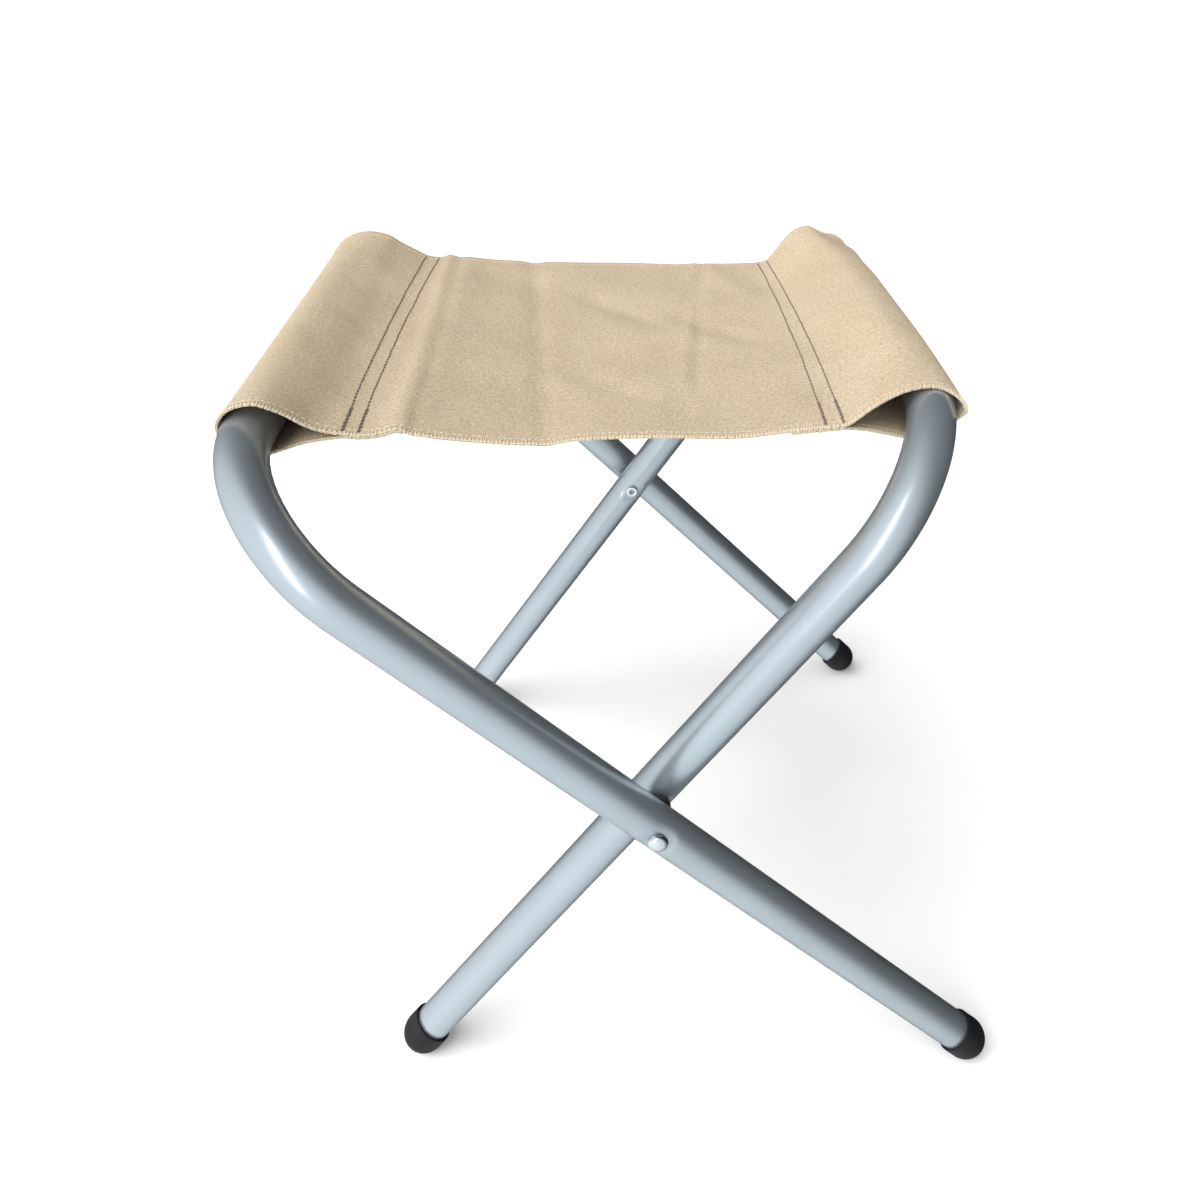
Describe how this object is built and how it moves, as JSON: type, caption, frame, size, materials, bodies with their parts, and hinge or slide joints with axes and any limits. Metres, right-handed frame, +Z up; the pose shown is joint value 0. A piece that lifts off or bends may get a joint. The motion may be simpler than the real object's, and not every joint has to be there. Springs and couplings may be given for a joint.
{
  "type": "camp stool",
  "caption": "Folding camp stool: two nested U-shaped tube frames crossed on rivets, with rubber foot caps and a sagging canvas seat sewn into a sleeve over each top rail.",
  "frame": {"origin": "on the floor, under the middle of the open stool's bounding box", "axes": "+Z up; X runs across the stool from the outer frame's rail (-X) to the inner frame's rail (+X); Y runs along the rails and the pivot axis, with the front at -Y"},
  "size_m": [0.3474, 0.3496, 0.3752],
  "materials": {
    "frame_enamel": "glossy blue-grey enamel on steel tube",
    "rivet_steel": "bright plated steel",
    "spacer_nylon": "dark nylon",
    "foot_rubber": "matte black rubber",
    "canvas": "beige plain-weave canvas",
    "seam_thread": "dark brown sewing thread",
    "edge_thread": "cream sewing thread"
  },
  "bodies": {
    "outer": {"outer_frame": "frame_enamel", "pivot_rivet_front": "rivet_steel", "pivot_rivet_rear": "rivet_steel", "pivot_spacer_front": "spacer_nylon", "pivot_spacer_rear": "spacer_nylon", "foot_cap_outer_front": "foot_rubber", "foot_cap_outer_rear": "foot_rubber", "sleeve_left": "canvas", "seat_panel": "canvas", "seam_stitches_left_outer": "seam_thread", "seam_stitches_left_inner": "seam_thread", "hem_stitches_front": "edge_thread", "hem_stitches_rear": "edge_thread", "edge_overlock_front": "edge_thread", "edge_overlock_rear": "edge_thread"},
    "inner": {"inner_frame": "frame_enamel", "foot_cap_inner_front": "foot_rubber", "foot_cap_inner_rear": "foot_rubber", "sleeve_right": "canvas", "seam_stitches_right_inner": "seam_thread", "seam_stitches_right_outer": "seam_thread"}
  },
  "joints": [
    {"name": "fold", "type": "hinge", "parent": "outer", "child": "inner", "pos_m": [-0.00518, 0, 0.1931], "axis": [0, -1, 0], "range_deg": [0, 75], "deforming": ["sleeve_left", "seat_panel", "sleeve_right", "seam_stitches_left_outer", "seam_stitches_left_inner", "seam_stitches_right_inner", "seam_stitches_right_outer", "hem_stitches_front", "hem_stitches_rear", "edge_overlock_front", "edge_overlock_rear"]}
  ]
}
